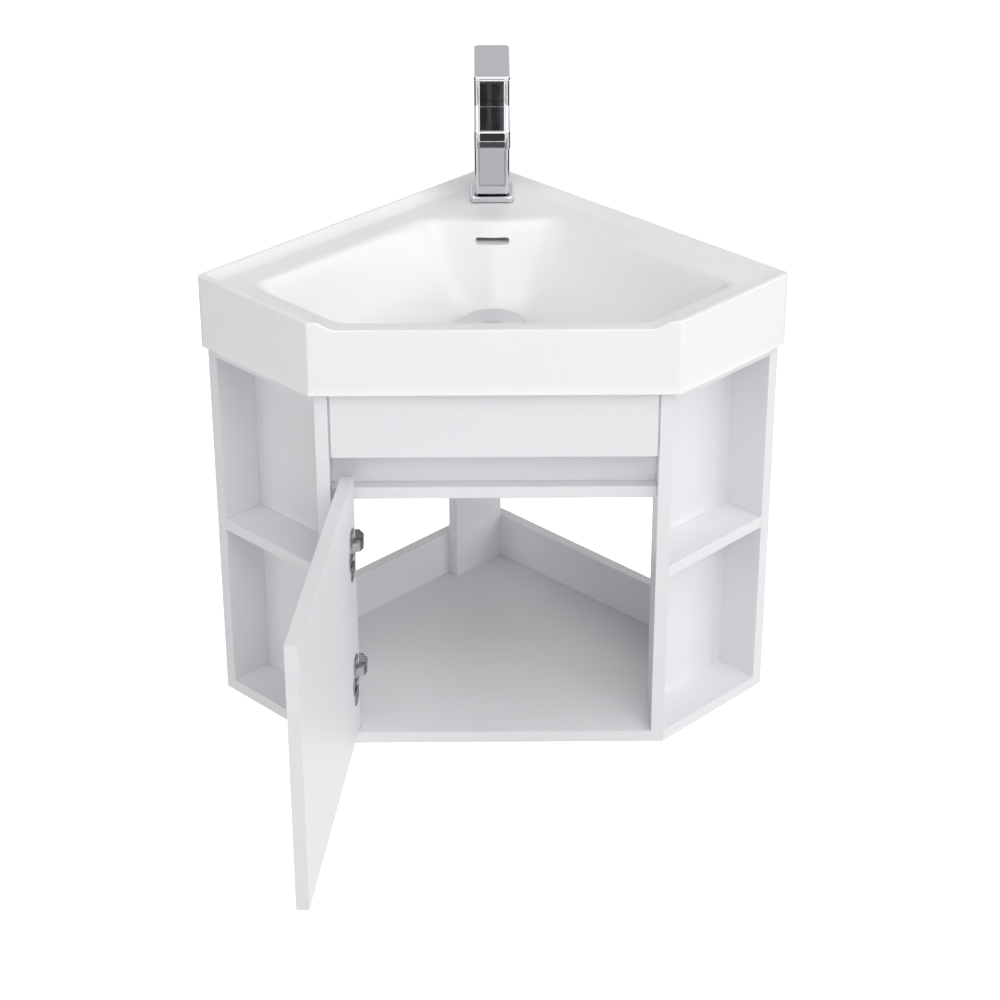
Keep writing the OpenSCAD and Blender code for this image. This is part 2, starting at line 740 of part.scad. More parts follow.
// Body of the tap with its waterways and the seat of its cartridge
module tap_body() color("silver") difference() {
    translate([0, -tap_back, 0]) prism(square_outline(tap_width, tap_corner_r), foot_top, body_top);
    rod(0, -tap_back, body_top - cartridge_high, body_top + 1, cartridge_r + run_gap);
    rod(0, -tap_back, spout_low + waterway_rise, body_top, cartridge_r - 3);
    spout_waterway();
    rod(0, stud_y, foot_top - 1, foot_top + stud_grip + 1, stud_r + run_gap);
    for (x = inlet_places) {
        rod(x, inlet_y, foot_top - 1, foot_top + inlet_thread, inlet_r);
        rod(x, inlet_y, foot_top, spout_low + waterway_rise + 1, inlet_r - inlet_step);
    }
}

// Waterway from the body through the spout
module spout_waterway()
    block([-waterway_half, waterway_half], [waterway_rise - tap_back - spout_reach, -tap_back],
          [spout_low + waterway_rise, spout_low + spout_high - waterway_rise]);

module tap_spout() color("silver") difference() {
    block([-tap_width / 2, tap_width / 2], [-tap_back - spout_reach, -tap_back - tap_width / 2],
          [spout_low, spout_low + spout_high]);
    spout_waterway();
    rod(0, aerator_y, spout_low - 1, spout_low + waterway_rise + 1, aerator_r);
}

module tap_stud() color("gray") rod(0, stud_y, stud_low, foot_top + stud_grip, stud_r);

// Clamp plate under the deck
module tap_clamp() color("gray") difference() {
    rod(0, -tap_back, deck_low - clamp_high, deck_low, tap_hole_r + 5);
    rod(0, stud_y, deck_low - clamp_high - 1, deck_low + 1, stud_r + run_gap);
    block([-tap_hole_r + 4, tap_hole_r - 4], [-tap_back - 1, -tap_back + tap_hole_r + 6],
          [deck_low - clamp_high - 1, deck_low + 1]);
}

module tap_nut() color("silver") difference() {
    translate([0, stud_y, deck_low - clamp_high - 7]) cylinder(r = stud_r + 3.5, h = 7, $fn = 6);
    rod(0, stud_y, deck_low - clamp_high - 8, deck_low, stud_r + run_gap);
}

module tap_aerator() color("white") difference() {
    rod(0, aerator_y, spout_low - 1.5, spout_low + 6, aerator_r - run_gap);
    rod(0, aerator_y, spout_low - 2, spout_low + 1, aerator_r - 2);
    for (x = [-6:3:6], y = [-6:3:6]) if (norm([x, y]) < aerator_r - 3)
        rod(x, aerator_y + y, spout_low - 2, spout_low + 7, 0.8);
}

module tap_cartridge() color("white") difference() {
    rod(0, -tap_back, body_top - cartridge_high, body_top, cartridge_r);
    rod(0, -tap_back, body_top - 20, body_top + 1, spindle_r + run_gap);
    for (x = [-5, 5]) rod(x, -tap_back, body_top - cartridge_high - 1, body_top - 23, 2.5);
}

// Spindle that the head turns in the cartridge
module tap_spindle() color("gray") rod(0, -tap_back, body_top - 19, head_low + 6, spindle_r);

// Turning head; its slot and its sloping top leave room for the lever's lift
module tap_head() color("silver") difference() {
    translate([0, -tap_back, 0]) prism(square_outline(tap_width, tap_corner_r), head_low, head_top);
    rod(0, -tap_back, head_low - 1, head_low + 6, spindle_r + run_gap);
    block([-tongue_half - move_gap / 2, tongue_half + move_gap / 2],
          [lever_pivot_y - tongue_r - 1, lever_pivot_y + tongue_r + 1],
          [lever_pivot_z - tongue_r - 1, head_top + 1]);
    translate([0, lever_pivot_y, lever_pivot_z]) rotate([-lever_lift, 0, 0])
        block([-tap_width, tap_width], [-tap_width, tap_width],
              [lever_low - move_gap - lever_pivot_z, 3 * head_high]);
    cross_rod([-tongue_half - 8, tongue_half + 8], lever_pivot_y, lever_pivot_z, lever_pin_r + run_gap);
}

module lever_pin() color("gray")
    cross_rod([-tongue_half - 7.5, tongue_half + 7.5], lever_pivot_y, lever_pivot_z, lever_pin_r);

// Flat lever plate with the tongue that turns on the cross pin
module tap_lever() color("silver") difference() {
    union() {
        prism(rounded([[-tap_width / 2, lever_back - tap_back - lever_len],
                       [tap_width / 2, lever_back - tap_back - lever_len],
                       [tap_width / 2, lever_back - tap_back],
                       [-tap_width / 2, lever_back - tap_back]], tap_corner_r), lever_low, lever_low + lever_thick);
        cross_rod([-tongue_half, tongue_half], lever_pivot_y, lever_pivot_z, tongue_r);
        block([-tongue_half, tongue_half], [lever_pivot_y - tongue_r + 1, lever_pivot_y + tongue_r - 1],
              [lever_pivot_z, lever_low + 1]);
    }
    cross_rod([-tongue_half - 1, tongue_half + 1], lever_pivot_y, lever_pivot_z, lever_pin_r + run_gap);
}

floor_panel();
left_side_panel();
right_side_panel();
left_niche_back();
right_niche_back();
left_end_panel();
right_end_panel();
left_niche_top();
right_niche_top();
left_shelf();
right_shelf();
shelf_pins();
corner_post();
left_low_rail();
right_low_rail();
left_top_rail();
right_top_rail();
false_front();
false_front_blocks();
grip_rail();
grip_back();
floor_screws();
door_panel();
hinge_cups();
cup_screws();
hinge_pins();
hinge_arms();
hinge_plates();
plate_screws();
basin();
waste_body();
waste_top_seal();
waste_low_seal();
waste_nut();
waste_guide();
waste_plug();
tap_foot();
tap_body();
tap_spout();
tap_gasket();
tap_stud();
tap_clamp();
tap_nut();
tap_aerator();
tap_cartridge();
tap_spindle();
tap_head();
lever_pin();
tap_lever();
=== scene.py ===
import json
import math
import bmesh
import bpy
import numpy as np
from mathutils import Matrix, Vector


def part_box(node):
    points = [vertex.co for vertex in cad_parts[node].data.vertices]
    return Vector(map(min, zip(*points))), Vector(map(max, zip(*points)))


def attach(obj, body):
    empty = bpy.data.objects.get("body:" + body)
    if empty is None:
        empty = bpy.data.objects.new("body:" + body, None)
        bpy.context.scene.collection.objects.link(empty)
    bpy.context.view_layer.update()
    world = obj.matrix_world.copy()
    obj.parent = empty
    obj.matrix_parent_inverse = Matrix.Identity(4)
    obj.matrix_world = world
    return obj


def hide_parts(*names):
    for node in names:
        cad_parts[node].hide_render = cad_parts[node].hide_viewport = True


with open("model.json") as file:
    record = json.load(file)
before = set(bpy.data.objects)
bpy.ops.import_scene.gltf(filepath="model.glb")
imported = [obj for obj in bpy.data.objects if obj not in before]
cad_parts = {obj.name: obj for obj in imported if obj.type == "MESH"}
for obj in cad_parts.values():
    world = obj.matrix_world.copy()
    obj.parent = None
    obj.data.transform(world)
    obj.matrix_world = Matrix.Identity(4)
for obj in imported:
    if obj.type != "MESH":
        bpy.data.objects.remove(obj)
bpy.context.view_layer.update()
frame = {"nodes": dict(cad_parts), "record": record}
print("frame loaded")


# Two hex digits a channel, each freed of its sRGB curve.
def hexToLinear(code):
    parts = np.array([int(code[i:i + 2], 16) for i in (1, 3, 5)]) / 255
    linear = np.where(parts <= 0.04045, parts / 12.92, ((parts + 0.055) / 1.055) ** 2.4)
    return (*linear.tolist(), 1.0)


# Adds one node, a shader node unless its kind says otherwise; an input takes a plain
# value or another node's output.
def addNode(tree, kind, settings=None, inputs=None):
    node = tree.nodes.new(kind if "Node" in kind else "ShaderNode" + kind)
    for key, value in (settings or {}).items():
        setattr(node, key, value)
    for key, value in (inputs or {}).items():
        if isinstance(value, bpy.types.NodeSocket):
            tree.links.new(value, node.inputs[key])
        else:
            node.inputs[key].default_value = value
    return node


# A Principled surface, with fixed values set straight on its sockets.
# grain holds the relief: scale in features a metre, its depth in metres, how far
# the roughness swings and how far the colour darkens in the same pattern.
def finish(name, surface, grain=None):
    material = bpy.data.materials.new(name)
    material.use_nodes = True
    tree = material.node_tree
    tree.nodes.clear()
    shader = addNode(tree, "BsdfPrincipled", None, surface)
    out = addNode(tree, "OutputMaterial", None, {"Surface": shader.outputs["BSDF"]})
    if grain:
        place = addNode(tree, "TexCoord")
        stretch = addNode(tree, "Mapping", None, {
            "Vector": place.outputs["Object"], "Scale": grain.get("stretch", (1, 1, 1))})
        fine = addNode(tree, "TexNoise", {"noise_dimensions": "3D"}, {
            "Vector": stretch.outputs["Vector"], "Scale": grain["scale"],
            "Detail": grain.get("detail", 3.0), "Roughness": 0.55})
        bump = addNode(tree, "Bump", None, {
            "Height": fine.outputs["Fac"], "Distance": grain["depth"], "Strength": 1.0})
        tree.links.new(bump.outputs["Normal"], shader.inputs["Normal"])
        rough = surface["Roughness"]
        swing = addNode(tree, "MapRange", None, {
            "Value": fine.outputs["Fac"], "From Min": 0.3, "From Max": 0.7,
            "To Min": rough - grain["swing"], "To Max": rough + grain["swing"]})
        tree.links.new(swing.outputs["Result"], shader.inputs["Roughness"])
        broad = addNode(tree, "TexNoise", None, {
            "Vector": place.outputs["Object"], "Scale": grain["broad"], "Detail": 2.0})
        tint = addNode(tree, "MixRGB", None, {
            "Fac": broad.outputs["Fac"], "Color1": surface["Base Color"],
            "Color2": tuple(c * grain["darken"] for c in surface["Base Color"][:3]) + (1,)})
        tree.links.new(tint.outputs["Color"], shader.inputs["Base Color"])
    return material


# Catalysed white lacquer sprayed on fibreboard: an even satin white whose faint
# orange peel, about 2 mm across, softens the edge of every reflection.
satinLacquer = finish("satin white lacquer on fibreboard", {
    "Base Color": hexToLinear("#E4E4E7"), "Roughness": 0.45, "IOR": 1.50},
    {"scale": 420, "depth": 0.00003, "swing": 0.05, "broad": 9, "darken": 0.985})

# Fireclay under a satin white glaze: clean white with a silky sheen that gathers
# along rounded edges, and a very slow waviness where the glaze ran in the kiln.
satinGlaze = finish("satin white glaze on fireclay", {
    "Base Color": hexToLinear("#ECECED"), "Roughness": 0.34, "IOR": 1.52},
    {"scale": 26, "depth": 0.00005, "swing": 0.03, "broad": 6, "darken": 0.99, "detail": 1.0})

# Polished chrome plate on brass: mirror with the grey of chromium, and the faint
# unevenness that hand polishing leaves.
chromePlate = finish("polished chrome plate", {
    "Base Color": hexToLinear("#D2D3D6"), "Metallic": 1.0, "Roughness": 0.035},
    {"scale": 60, "depth": 0.000006, "swing": 0.015, "broad": 30, "darken": 0.98, "detail": 1.0})

# The waste cap: the same plate on a face that was only finely ground, so it looks pale
# and even rather than mirror-like.
capChrome = finish("satin chrome plate", {
    "Base Color": hexToLinear("#D3D4D6"), "Metallic": 1.0, "Roughness": 0.22},
    {"scale": 900, "depth": 0.000003, "swing": 0.03, "broad": 30, "darken": 0.98})

# Barrel-plated nickel on pressed steel: neutral grey, half bright, with fine draw
# lines about 2 mm long that break up its reflections.
nickelPlate = finish("nickel plate on pressed steel", {
    "Base Color": hexToLinear("#929294"), "Metallic": 1.0, "Roughness": 0.34},
    {"scale": 500, "depth": 0.00002, "swing": 0.08, "broad": 120, "darken": 0.75,
     "stretch": (1, 1, 0.15)})

# Bright zinc plate: cool grey and slightly cloudy.
zincPlate = finish("bright zinc plate", {
    "Base Color": hexToLinear("#B4B6B8"), "Metallic": 1.0, "Roughness": 0.34},
    {"scale": 300, "depth": 0.00001, "swing": 0.08, "broad": 200, "darken": 0.85})

# Moulded nitrile rubber: near black with a dull even skin.
sealRubber = finish("moulded nitrile rubber", {
    "Base Color": hexToLinear("#262627"), "Roughness": 0.7, "IOR": 1.52},
    {"scale": 900, "depth": 0.00002, "swing": 0.08, "broad": 60, "darken": 0.8})

# Injection-moulded acetal: milky white with a soft sheen.
mouldedAcetal = finish("moulded white acetal", {
    "Base Color": hexToLinear("#DEDEDA"), "Roughness": 0.35, "IOR": 1.48},
    {"scale": 700, "depth": 0.00001, "swing": 0.05, "broad": 80, "darken": 0.96})

slotFinish = {
    "cabinet_board": satinLacquer, "basin_glaze": satinGlaze,
    "tap_chrome": chromePlate, "hinge_nickel": nickelPlate, "fixing_steel": zincPlate,
    "seal_rubber": sealRubber, "fitting_plastic": mouldedAcetal}
print("finishes made")


# Four-cornered faces between the rows of a grid whose rows close on themselves.
def gridFaces(rows, columns, first=0):
    r, c = np.meshgrid(np.arange(rows - 1), np.arange(columns), indexing="ij")
    a = first + r * columns + c
    b = first + r * columns + (c + 1) % columns
    return np.stack([a, b, b + columns, a + columns], axis=-1).reshape(-1, 4)


# A mesh of points and faces, its doubles merged and its faces turned outwards.
def closedMesh(name, points, faces):
    mesh = bpy.data.meshes.new(name)
    mesh.from_pydata(points.tolist(), [], [list(f) for f in faces])
    mesh.validate()
    working = bmesh.new()
    working.from_mesh(mesh)
    bmesh.ops.remove_doubles(working, verts=working.verts, dist=1e-6)
    bmesh.ops.recalc_face_normals(working, faces=working.faces)
    working.to_mesh(mesh)
    working.free()
    return mesh


# Makes a piece of points and faces, shades it smooth and ties it to its body.
def makePiece(name, points, faces, material, body, slot, replaced=()):
    mesh = closedMesh(name, points, faces)
    mesh.shade_smooth()
    mesh.materials.append(material)
    piece = bpy.data.objects.new(name, mesh)
    bpy.context.scene.collection.objects.link(piece)
    piece.modifiers.new("even shading", "WEIGHTED_NORMAL").keep_sharp = True
    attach(piece, body)
    if replaced:
        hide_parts(*replaced)
    return piece


# Outline with an arc at each corner: the arc's centre lies on the corner's
# bisector, and its points run from one side's normal to the next side's.
def roundedOutline(corners, radii, steps=8):
    corners = np.asarray(corners, float)
    radii = np.broadcast_to(np.asarray(radii, float), (len(corners),))
    ahead = np.roll(corners, -1, axis=0) - corners
    ahead /= np.linalg.norm(ahead, axis=1, keepdims=True)
    normal = np.stack([ahead[:, 1], -ahead[:, 0]], axis=1)
    before = np.roll(normal, 1, axis=0)
    middle = before + normal
    centre = corners - middle * (radii / (1 + (before * normal).sum(axis=1)))[:, None]
    start = np.arctan2(before[:, 1], before[:, 0])
    turn = (np.arctan2(normal[:, 1], normal[:, 0]) - start + 2 * np.pi) % (2 * np.pi)
    angle = start[:, None] + turn[:, None] * np.linspace(0, 1, steps + 1)
    out = np.stack([np.cos(angle), np.sin(angle)], axis=-1)
    return (centre[:, None] + out * radii[:, None, None]).reshape(-1, 2), out.reshape(-1, 2)


# Puts rings of plan points at their levels, and closes the first and the last.
def stacked(rings, levels):
    heights = np.broadcast_to(levels[:, None, None], rings.shape[:2] + (1,))
    count = rings.shape[1]
    faces = gridFaces(len(levels), count).tolist()
    faces.append(list(range(count))[::-1])
    faces.append(list(range((len(levels) - 1) * count, len(levels) * count)))
    return np.concatenate([rings, heights], -1).reshape(-1, 3), faces


# Plate over an outline: each ring is the outline moved in by r (1 - sin a) while
# its level moves by r (1 - cos a), so both rims are quarter rounds.
def slab(outline, low, high, edgeLow, edgeHigh, steps=5):
    points, normals = outline
    a = np.linspace(0, np.pi / 2, steps + 1)
    inset = np.concatenate([edgeLow * (1 - np.sin(a)), edgeHigh * (1 - np.cos(a))])
    level = np.concatenate([low + edgeLow * (1 - np.cos(a)), high - edgeHigh * (1 - np.sin(a))])
    return stacked(points[None] - normals[None] * inset[:, None, None], level)


# Revolves a (radius, level) profile about an upright axis.
def turned(profile, centre, columns=96):
    profile = np.asarray(profile, float)
    angle = np.linspace(0, 2 * np.pi, columns, endpoint=False)
    x = profile[:, :1] * np.cos(angle) + centre[0]
    y = profile[:, :1] * np.sin(angle) + centre[1]
    z = np.broadcast_to(profile[:, 1:], x.shape)
    return np.stack([x, y, z], -1).reshape(-1, 3), gridFaces(len(profile), columns).tolist()


# Carries local x, y and z onto three directions at an origin.
def placed(points, origin, across, along, up):
    return np.asarray(origin) + points @ np.array([across, along, up], float)


# Corners of a rectangle, counter-clockwise.
def rectangle(width, depth, centre=(0, 0)):
    return np.array([[-1, -1], [1, -1], [1, 1], [-1, 1]]) * (width / 2, depth / 2) + centre


# Several (points, faces) pairs as one.
def joined(parts):
    starts = np.cumsum([0] + [len(points) for points, _ in parts[:-1]]).tolist()
    faces = [[i + start for i in face]
             for (_, partFaces), start in zip(parts, starts) for face in partFaces]
    return np.concatenate([points for points, _ in parts]), faces


root2 = math.sqrt(2)
boards = {"arris": 0.0009, "arrisSteps": 3}
fittings = {"hinge_plates": 0.0004, "tap_head": 0.0008, "tap_nut": 0.0005, "waste_nut": 0.0010,
            "tap_clamp": 0.0005, "cup_screws": 0.0004, "plate_screws": 0.0004,
            "floor_screws": 0.0004, "tap_aerator": 0.0003, "waste_body": 0.0004}
easing = {"weld": 0.00001, "flat": math.radians(1), "edgeFrom": math.radians(35),
          "creaseFrom": math.radians(38)}
slotOf = {part["node"]: part["material_slot"] for part in frame["record"]["subparts"]}

# shades smooth, and keeps a crease wherever two faces meet at more than creaseFrom
smoothing = bpy.data.node_groups.new("smooth with creases", "GeometryNodeTree")
smoothing.is_modifier = True
for direction in ("INPUT", "OUTPUT"):
    smoothing.interface.new_socket("Geometry", in_out=direction, socket_type="NodeSocketGeometry")
shape = addNode(smoothing, "NodeGroupInput")
meeting = addNode(smoothing, "GeometryNodeInputMeshEdgeAngle")
shallow = addNode(smoothing, "FunctionNodeCompare", {"operation": "LESS_THAN"}, {
    0: meeting.outputs["Unsigned Angle"], 1: easing["creaseFrom"]})
smoothFaces = addNode(smoothing, "GeometryNodeSetShadeSmooth", {"domain": "FACE"}, {
    "Geometry": shape.outputs["Geometry"], "Shade Smooth": True})
smoothEdges = addNode(smoothing, "GeometryNodeSetShadeSmooth", {"domain": "EDGE"}, {
    "Geometry": smoothFaces.outputs["Geometry"], "Shade Smooth": shallow.outputs["Result"]})
addNode(smoothing, "NodeGroupOutput", None, {"Geometry": smoothEdges.outputs["Geometry"]})


# Rounds a node's edges: its loose triangles are joined, flat faces made whole, and
# each edge sharper than edgeFrom becomes a narrow round of the given width.
def easeEdges(nodeObject, width, steps):
    nodeObject.modifiers.new("weld", "WELD").merge_threshold = easing["weld"]
    if width:
        whole = nodeObject.modifiers.new("whole faces", "DECIMATE")
        whole.decimate_type = "DISSOLVE"
        whole.angle_limit = easing["flat"]
        ease = nodeObject.modifiers.new("eased edges", "BEVEL")
        ease.width = width
        ease.segments = steps
        ease.limit_method = "ANGLE"
        ease.angle_limit = easing["edgeFrom"]
        ease.use_clamp_overlap = True
    nodeObject.modifiers.new("smooth", "NODES").node_group = smoothing
    nodeObject.modifiers.new("even shading", "WEIGHTED_NORMAL").keep_sharp = True


for nodeName, nodeObject in frame["nodes"].items():
    nodeObject.data.materials.clear()
    nodeObject.data.materials.append(slotFinish[slotOf[nodeName]])
    if slotOf[nodeName] == "cabinet_board":
        easeEdges(nodeObject, boards["arris"], boards["arrisSteps"])
    else:
        easeEdges(nodeObject, fittings.get(nodeName, 0), 2)
print("boards eased")


# Box with quarter-round edges.
def bar(x0, x1, y0, y1, low, high, edge=0.0003):
    outline = roundedOutline([[x0, y0], [x1, y0], [x1, y1], [x0, y1]], edge, 3)
    return slab(outline, low, high, edge, edge, 3)


# blocks behind the false front, each with a tongue that closes the gap beside it
block = {"wide": 0.025, "edge": 0.0005, "tongueWide": 0.0020, "tongueDeep": 0.0034,
         "tongueEdge": 0.0002, "overlap": 0.001, "rise": 0.0035}
(_, blockFront, blockLow), (blockRight, blockBack, blockHigh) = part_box("false_front_blocks")
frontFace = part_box("false_front")[0][1]
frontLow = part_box("false_front")[0][2]
frontBlocks = []
for side in (-1, 1):
    near, far = sorted((side * blockRight, side * (blockRight - block["wide"])))
    frontBlocks.append(bar(near, far, blockFront, blockBack, blockLow, blockHigh, block["edge"]))
    near, far = sorted((side * blockRight, side * (blockRight - block["tongueWide"])))
    frontBlocks.append(bar(near, far, frontFace + block["tongueDeep"],
                           blockFront + block["overlap"], frontLow,
                           blockHigh + block["rise"], block["tongueEdge"]))
makePiece("frontBlocks", *joined(frontBlocks), satinLacquer, "cabinet", "cabinet_board",
          ("false_front_blocks",))

# shelf pins: a round shank in the board and a flat tongue under the shelf
pin = {"shank": 0.0024, "in": 0.0078, "out": 0.0078, "tongue": 0.0015, "half": 0.0024,
       "round": 0.0004, "overlap": 0.0006, "tongueFrom": 0.0002, "drop": 0.0001,
       "side": ((0.1769, -0.3910), (0.1769, -0.3531)),
       "wall": ((0.2553, -0.2737), (0.2722, -0.2906))}
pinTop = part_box("shelf_pins")[1][2]
pinMiddle = (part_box("shelf_pins")[0][2] + pinTop) / 2
shank = turned([[0, -pin["in"]], [pin["shank"] - pin["round"], -pin["in"]],
                [pin["shank"], pin["round"] - pin["in"]],
                [pin["shank"], pin["overlap"]], [0, pin["overlap"]]], (0, 0), 24)
tongue = bar(-pin["half"], pin["half"], pin["tongueFrom"], pin["out"], -pin["tongue"], 0)
shelfPins = []
for mirror in (1, -1):
    for group, out in (("side", (1, 0, 0)), ("wall", (-1 / root2, -1 / root2, 0))):
        for x, y in pin[group]:
            outward = np.array(out) * (mirror, 1, 1)
            across = np.cross(outward, (0, 0, 1))
            at = np.array([x * mirror, y, pinMiddle])
            shelfPins.append((placed(shank[0], at, across, (0, 0, 1), outward), shank[1]))
            shelfPins.append((placed(tongue[0], at + (0, 0, pinTop - pinMiddle - pin["drop"]),
                                     across, outward, (0, 0, 1)), tongue[1]))
makePiece("shelfPins", *joined(shelfPins), zincPlate, "cabinet", "fixing_steel", ("shelf_pins",))
print("blocks and pins made")


basin = {
    "wall": 0.420, "wing": 0.164, "foot": 0.412, "deck": 0.482, "lip": 0.008,
    "corner": 0.0050, "frontCorner": 0.0042,
    "wingLip": 0.0068, "crest": 0.0035, "crestAtFront": 0.0105, "wallLip": 0.0036, "cove": 0.015,
    "bowlWall": 0.045, "bowlWing": 0.038, "bowlFront": 0.022, "bowlBack": 0.134,
    "bowlCorners": (0.040, 0.040, 0.014, 0.030, 0.030, 0.014), "dishSharpness": 5,
    "bulge": 0.0045, "bulgeWidth": 0.034, "rimRound": 0.0030,
    "drainBack": 0.230, "drainFloor": 0.0345, "drainHole": 0.0217, "floor": 0.392,
    "upperSlope": 0.64, "upperReach": 0.014,
    "shell": 0.010, "underDeck": 0.470, "boss": 0.366, "skirt": 0.024,
    "frontRound": 0.0018, "wallRound": 0.0010, "wallNear": 0.006, "footRound": 0.0005,
    "flare": 0.0016, "flareHigh": 0.010, "flareFade": 0.025,
    "leastRound": 0.0008, "alongFrom": 0.026, "holeRound": 0.001, "coveCurve": 2.4,
    "crowding": 12, "crowdWide": 0.02,
    "columns": 640, "bowlRings": 46, "deckRings": 14, "edgeRings": 28}
frontReach = (basin["wall"] + basin["wing"]) / root2
outerSides = np.array([45, 135, 225, 270, 315])
bowlSides = np.array([45, 90, 135, 225, 270, 315])


# Distance from the drain to each outer side, moved in by inset: the two walls, then
# the left wing, the front and the right wing.
def sideReach(inset):
    back = basin["drainBack"] / root2
    return np.array([back, back, basin["wall"] - back, frontReach - basin["drainBack"],
                     basin["wall"] - back]) - inset


# Distance along each ray to a polygon whose corners are true arcs: each arc's centre
# is as far inside both its sides as its radius, and the outline is read by angle.
def outlineReach(angle, sides, reach, radii):
    turn = np.radians(sides)
    normal = np.stack([np.cos(turn), np.sin(turn)], axis=1)
    after = np.roll(normal, -1, axis=0)
    pair = np.stack([normal, after], axis=1)
    depth = np.stack([reach - radii, np.roll(reach, -1) - radii], axis=1)
    centre = np.linalg.solve(pair, depth[..., None])[..., 0]
    swing = (np.roll(turn, -1) - turn) % (2 * np.pi)
    at = turn[:, None] + swing[:, None] * np.linspace(0, 1, 25)
    arc = centre[:, None] + np.stack([np.cos(at), np.sin(at)], -1) * radii[:, None, None]
    # straight runs get points of their own, because they aren't straight by angle
    ahead = np.roll(arc[:, :1], -1, axis=0)
    share = np.linspace(0, 1, 220)[None, 1:-1, None]
    run = arc[:, -1:] * (1 - share) + ahead * share
    outline = np.concatenate([arc, run], axis=1).reshape(-1, 2)
    polar = np.arctan2(outline[:, 1], outline[:, 0]) % (2 * np.pi)
    order = np.argsort(polar)
    return np.interp(angle, polar[order], np.hypot(*outline.T)[order], period=2 * np.pi)


# Rings about the drain. From the middle out: drain hole, bowl, deck, lip, skirt,
# foot and then back in under the deck and the bowl to the drain hole.
def basinPoints():
    b = basin
    # rays crowd towards the outline's corners, where the form turns fastest
    cornerX, cornerY = b["wall"] / root2, b["drainBack"] - b["wall"] / root2
    frontX, frontY = b["wall"] * root2 - frontReach, b["drainBack"] - frontReach
    corners = np.arctan2([b["drainBack"], cornerY, cornerY, frontY, frontY],
                         [0, cornerX, -cornerX, frontX, -frontX]) % (2 * np.pi)
    raw = np.linspace(0, 2 * np.pi, 8000, endpoint=False)
    away = np.abs((raw[:, None] - corners + np.pi) % (2 * np.pi) - np.pi)
    near = np.exp(-(away / b["crowdWide"]) ** 2).sum(axis=1)
    crowd = np.cumsum(1 + b["crowding"] * near)
    crowd = (crowd - crowd[0]) / (crowd[-1] - crowd[0])
    angle = np.interp(np.linspace(0, 1, b["columns"], endpoint=False), crowd, raw)
    ray = np.stack([np.cos(angle), np.sin(angle)], axis=1)
    centre = np.array([0, -b["drainBack"]])

    bowlReach = np.insert(sideReach(0) - np.array(
        [b["bowlWall"], b["bowlWall"], b["bowlWing"], b["bowlFront"], b["bowlWing"]]),
        1, b["drainBack"] - b["bowlBack"])
    rim = outlineReach(angle, bowlSides, bowlReach, np.array(b["bowlCorners"]))
    across = rim * ray[:, 0]
    bulge = np.where(ray[:, 1] > 0, b["bulge"] * np.exp(-(across / b["bulgeWidth"]) ** 2), 0)
    rim = rim - bulge
    turn = np.radians(bowlSides)
    facing = np.clip(ray @ np.stack([np.cos(turn), np.sin(turn)]), 0, None) / bowlReach
    dish = (facing ** b["dishSharpness"]).sum(axis=1) ** (-1 / b["dishSharpness"])
    span = rim - b["drainFloor"]
    power = math.log(b["upperSlope"]) / np.log(1 - b["upperReach"] / span)

    # Depth under the deck at a distance inside the rim: the rest of the way to the
    # drain to a power, eased in over the rim's round.
    def dropAt(inside):
        eased = (inside + np.sqrt(inside ** 2 + b["rimRound"] ** 2)) / 2
        rest = np.clip(1 - eased / span, 0, 1)
        return (b["deck"] - b["floor"]) * (1 - rest ** power)

    # Rise above the deck: a flat lip with a steep S-shaped inner face along each wing,
    # wider at its front end, and a slim lip with a hollow cove at each wall.
    def lipAt(at):
        u, v = (at[:, 0] - at[:, 1]) / root2, (-at[:, 0] - at[:, 1]) / root2
        wall, wing, front = np.minimum(u, v), b["wall"] - np.maximum(u, v), frontReach + at[:, 1]
        width = b["crest"] + b["crestAtFront"] * np.exp(-(front / 0.010) ** 2)
        t = np.clip((wing - b["wingLip"]) / width, 0, 1)
        wingRise = 1 - t * t * (3 - 2 * t)
        s = np.clip(1 - (wall - b["wallLip"]) / b["cove"], 0, 1)
        wallRise = np.where(s >= 1, 1, s ** b["coveCurve"])
        return b["lip"] * (1 - (1 - wingRise) * (1 - wallRise))

    rings = []

    def addRing(reach, level):
        at = centre + ray * reach[:, None]
        rings.append(np.column_stack([at, np.broadcast_to(level, reach.shape)]))

    def deckRing(reach):
        at = centre + ray * reach[:, None]
        addRing(reach, b["deck"] - dropAt(rim - reach) + lipAt(at))

    def outer(inset):
        side, front = b["corner"], b["frontCorner"]
        radii = np.maximum(np.array([side, side, front, front, side]) - inset, b["leastRound"])
        return outlineReach(angle, outerSides, sideReach(inset), radii)

    flat = np.ones(b["columns"])
    addRing(flat * b["drainHole"], b["boss"])
    addRing(flat * b["drainHole"], b["floor"] - b["holeRound"])
    addRing(flat * (b["drainHole"] + b["holeRound"]), b["floor"])

    # bowl: the rim's true outline softens into a rounder dish on the way down
    under = []
    for q in np.linspace(0, 1, b["bowlRings"]) ** 0.75:
        share = q ** 3
        edge = rim * share + np.minimum(dish, rim) * (1 - share)
        inside = span * (1 - q)
        reach = edge - inside * (edge - b["drainFloor"]) / span
        level = b["deck"] - dropAt(inside)
        addRing(reach, level)
        under.append((reach, level))

    # deck, from the rim to near the lip, then rings that run along the outline
    nearLip = np.maximum(outer(b["alongFrom"]), rim + 0.0005)
    for q in np.linspace(0, 1, b["deckRings"] + 1)[1:] ** 1.6:
        deckRing(rim + (nearLip - rim) * q)
    for inset in np.linspace(b["alongFrom"], b["frontRound"], b["edgeRings"])[1:]:
        deckRing(np.maximum(outer(inset), nearLip))

